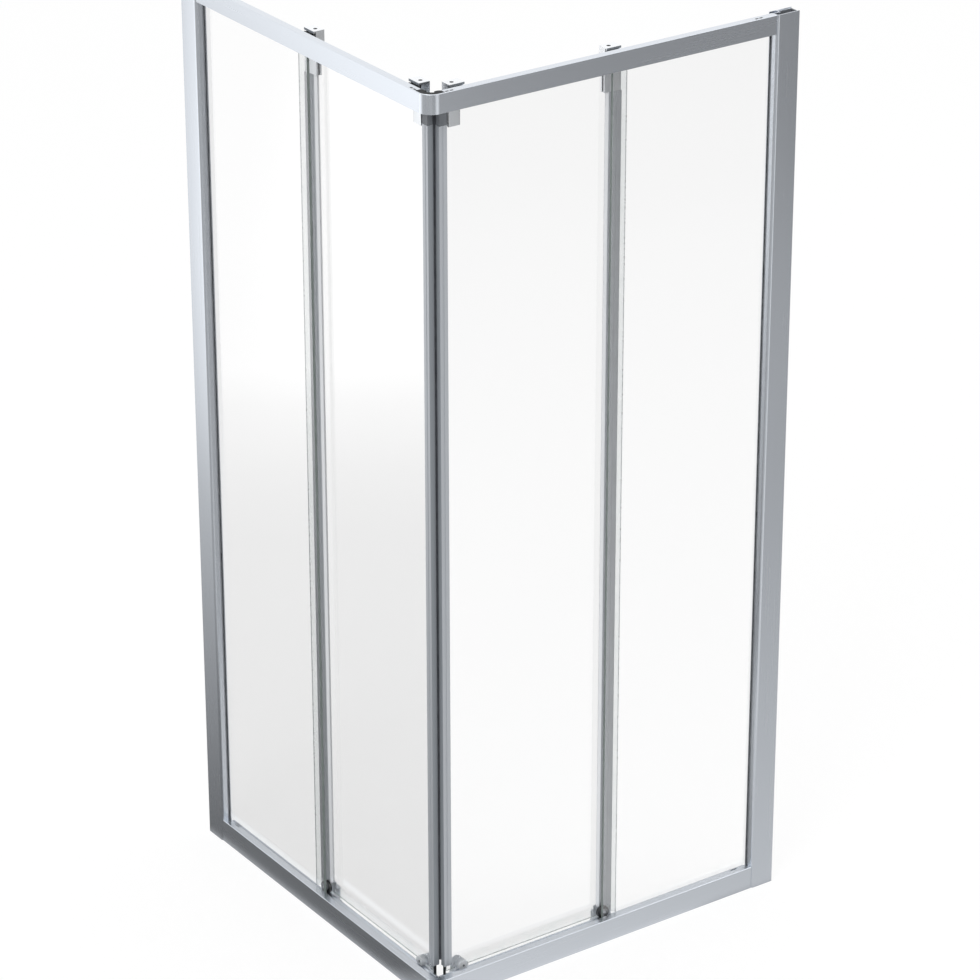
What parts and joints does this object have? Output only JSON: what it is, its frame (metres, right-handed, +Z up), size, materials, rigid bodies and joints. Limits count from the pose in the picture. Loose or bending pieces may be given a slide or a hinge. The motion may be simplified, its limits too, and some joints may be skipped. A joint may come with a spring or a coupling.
{
  "type": "corner shower enclosure",
  "caption": "Square corner shower enclosure of silver aluminium and clear glass, with a fixed pane and a wheeled sliding door on each side that meet at the corner.",
  "frame": {"origin": "on the floor, below the middle of the enclosure's square outline", "axes": "+Z up; the right side runs along +X at the low Y edge and its door opens towards +X; the left side runs along +Y at the low X edge and its door opens towards +Y; the walls are at the high X and high Y edges"},
  "size_m": [0.85, 0.85, 1.9],
  "materials": {
    "silver_aluminium": "satin silver anodised",
    "channel_aluminium": "plain mill finish",
    "clear_glass": "clear toughened glass",
    "clear_vinyl": "clear soft plastic seal",
    "smoked_plastic": "translucent grey moulded plastic",
    "black_plastic": "black moulded plastic",
    "black_rubber": "matt black rubber",
    "steel_screws": "plain stainless steel"
  },
  "bodies": {
    "frame": {"right_wall_channel": "channel_aluminium", "left_wall_channel": "channel_aluminium", "right_wall_post": "silver_aluminium", "left_wall_post": "silver_aluminium", "right_fixed_glass": "clear_glass", "left_fixed_glass": "clear_glass", "right_top_rail": "silver_aluminium", "left_top_rail": "silver_aluminium", "right_bottom_rail": "silver_aluminium", "left_bottom_rail": "silver_aluminium", "jamb_gaskets": "black_rubber", "head_gaskets": "clear_vinyl", "sill_beads": "clear_vinyl", "rail_buffers": "black_rubber", "rail_screws": "steel_screws", "top_corner_cover": "silver_aluminium", "top_corner_joint": "black_plastic", "bottom_corner_cover": "silver_aluminium", "bottom_corner_joint": "black_plastic", "corner_screws": "steel_screws"},
    "right_door": {"right_door_glass": "clear_glass", "right_closing_stile": "silver_aluminium", "right_magnet_strip": "black_rubber", "right_trailing_stile": "silver_aluminium", "right_overlap_seal": "clear_vinyl", "right_stile_plugs": "black_plastic", "right_bottom_seal": "clear_vinyl", "right_carriages": "silver_aluminium", "right_glass_clamps": "silver_aluminium", "right_clamp_screws": "steel_screws", "right_adjusting_screws": "steel_screws", "right_wheel_axles": "steel_screws", "right_lead_runner": "smoked_plastic", "right_trail_runner": "smoked_plastic"},
    "left_door": {"left_door_glass": "clear_glass", "left_closing_stile": "silver_aluminium", "left_magnet_strip": "black_rubber", "left_trailing_stile": "silver_aluminium", "left_overlap_seal": "clear_vinyl", "left_stile_plugs": "black_plastic", "left_bottom_seal": "clear_vinyl", "left_carriages": "silver_aluminium", "left_glass_clamps": "silver_aluminium", "left_clamp_screws": "steel_screws", "left_adjusting_screws": "steel_screws", "left_wheel_axles": "steel_screws", "left_lead_runner": "smoked_plastic", "left_trail_runner": "smoked_plastic"},
    "right_lead_wheel_a": {"right_lead_wheel_a": "black_plastic"},
    "left_lead_wheel_a": {"left_lead_wheel_a": "black_plastic"},
    "right_lead_wheel_b": {"right_lead_wheel_b": "black_plastic"},
    "left_lead_wheel_b": {"left_lead_wheel_b": "black_plastic"},
    "right_trail_wheel_a": {"right_trail_wheel_a": "black_plastic"},
    "left_trail_wheel_a": {"left_trail_wheel_a": "black_plastic"},
    "right_trail_wheel_b": {"right_trail_wheel_b": "black_plastic"},
    "left_trail_wheel_b": {"left_trail_wheel_b": "black_plastic"},
    "right_lead_runner_wheel": {"right_lead_runner_wheel": "smoked_plastic"},
    "left_lead_runner_wheel": {"left_lead_runner_wheel": "smoked_plastic"},
    "right_trail_runner_wheel": {"right_trail_runner_wheel": "black_plastic"},
    "left_trail_runner_wheel": {"left_trail_runner_wheel": "black_plastic"}
  },
  "joints": [
    {"name": "right_door_slide", "type": "slide", "parent": "frame", "child": "right_door", "axis": [1, 0, 0], "range_m": [0, 0.295]},
    {"name": "left_door_slide", "type": "slide", "parent": "frame", "child": "left_door", "axis": [0, 1, 0], "range_m": [0, 0.295]},
    {"name": "right_lead_wheel_a_spin", "type": "hinge", "parent": "right_door", "child": "right_lead_wheel_a", "pos_m": [-0.34725, -0.3944, 1.8871], "axis": [0, 1, 0], "range_deg": [0, 2430]},
    {"name": "right_lead_wheel_b_spin", "type": "hinge", "parent": "right_door", "child": "right_lead_wheel_b", "pos_m": [-0.33025, -0.3944, 1.8871], "axis": [0, 1, 0], "range_deg": [0, 2430]},
    {"name": "right_trail_wheel_a_spin", "type": "hinge", "parent": "right_door", "child": "right_trail_wheel_a", "pos_m": [0.00325, -0.3944, 1.8871], "axis": [0, 1, 0], "range_deg": [0, 2430]},
    {"name": "right_trail_wheel_b_spin", "type": "hinge", "parent": "right_door", "child": "right_trail_wheel_b", "pos_m": [0.02025, -0.3944, 1.8871], "axis": [0, 1, 0], "range_deg": [0, 2430]},
    {"name": "right_lead_runner_wheel_spin", "type": "hinge", "parent": "right_door", "child": "right_lead_runner_wheel", "pos_m": [-0.335, -0.3944, 0.0506], "axis": [0, 1, 0], "range_deg": [0, 2130]},
    {"name": "right_trail_runner_wheel_spin", "type": "hinge", "parent": "right_door", "child": "right_trail_runner_wheel", "pos_m": [0.009, -0.3944, 0.0546], "axis": [0, 1, 0], "range_deg": [0, 1420]},
    {"name": "left_lead_wheel_a_spin", "type": "hinge", "parent": "left_door", "child": "left_lead_wheel_a", "pos_m": [-0.3944, -0.34725, 1.8871], "axis": [-1, 0, 0], "range_deg": [0, 2430]},
    {"name": "left_lead_wheel_b_spin", "type": "hinge", "parent": "left_door", "child": "left_lead_wheel_b", "pos_m": [-0.3944, -0.33025, 1.8871], "axis": [-1, 0, 0], "range_deg": [0, 2430]},
    {"name": "left_trail_wheel_a_spin", "type": "hinge", "parent": "left_door", "child": "left_trail_wheel_a", "pos_m": [-0.3944, 0.00325, 1.8871], "axis": [-1, 0, 0], "range_deg": [0, 2430]},
    {"name": "left_trail_wheel_b_spin", "type": "hinge", "parent": "left_door", "child": "left_trail_wheel_b", "pos_m": [-0.3944, 0.02025, 1.8871], "axis": [-1, 0, 0], "range_deg": [0, 2430]},
    {"name": "left_lead_runner_wheel_spin", "type": "hinge", "parent": "left_door", "child": "left_lead_runner_wheel", "pos_m": [-0.3944, -0.335, 0.0506], "axis": [-1, 0, 0], "range_deg": [0, 2130]},
    {"name": "left_trail_runner_wheel_spin", "type": "hinge", "parent": "left_door", "child": "left_trail_runner_wheel", "pos_m": [-0.3944, 0.009, 0.0546], "axis": [-1, 0, 0], "range_deg": [0, 1420]}
  ],
  "couplings": [
    {"joint": "right_lead_wheel_a_spin", "follows": "right_door_slide", "rad_per_m": 142.86},
    {"joint": "right_lead_wheel_b_spin", "follows": "right_door_slide", "rad_per_m": 142.86},
    {"joint": "right_trail_wheel_a_spin", "follows": "right_door_slide", "rad_per_m": 142.86},
    {"joint": "right_trail_wheel_b_spin", "follows": "right_door_slide", "rad_per_m": 142.86},
    {"joint": "right_lead_runner_wheel_spin", "follows": "right_door_slide", "rad_per_m": 125},
    {"joint": "right_trail_runner_wheel_spin", "follows": "right_door_slide", "rad_per_m": 83.333},
    {"joint": "left_lead_wheel_a_spin", "follows": "left_door_slide", "rad_per_m": 142.86},
    {"joint": "left_lead_wheel_b_spin", "follows": "left_door_slide", "rad_per_m": 142.86},
    {"joint": "left_trail_wheel_a_spin", "follows": "left_door_slide", "rad_per_m": 142.86},
    {"joint": "left_trail_wheel_b_spin", "follows": "left_door_slide", "rad_per_m": 142.86},
    {"joint": "left_lead_runner_wheel_spin", "follows": "left_door_slide", "rad_per_m": 125},
    {"joint": "left_trail_runner_wheel_spin", "follows": "left_door_slide", "rad_per_m": 83.333}
  ]
}
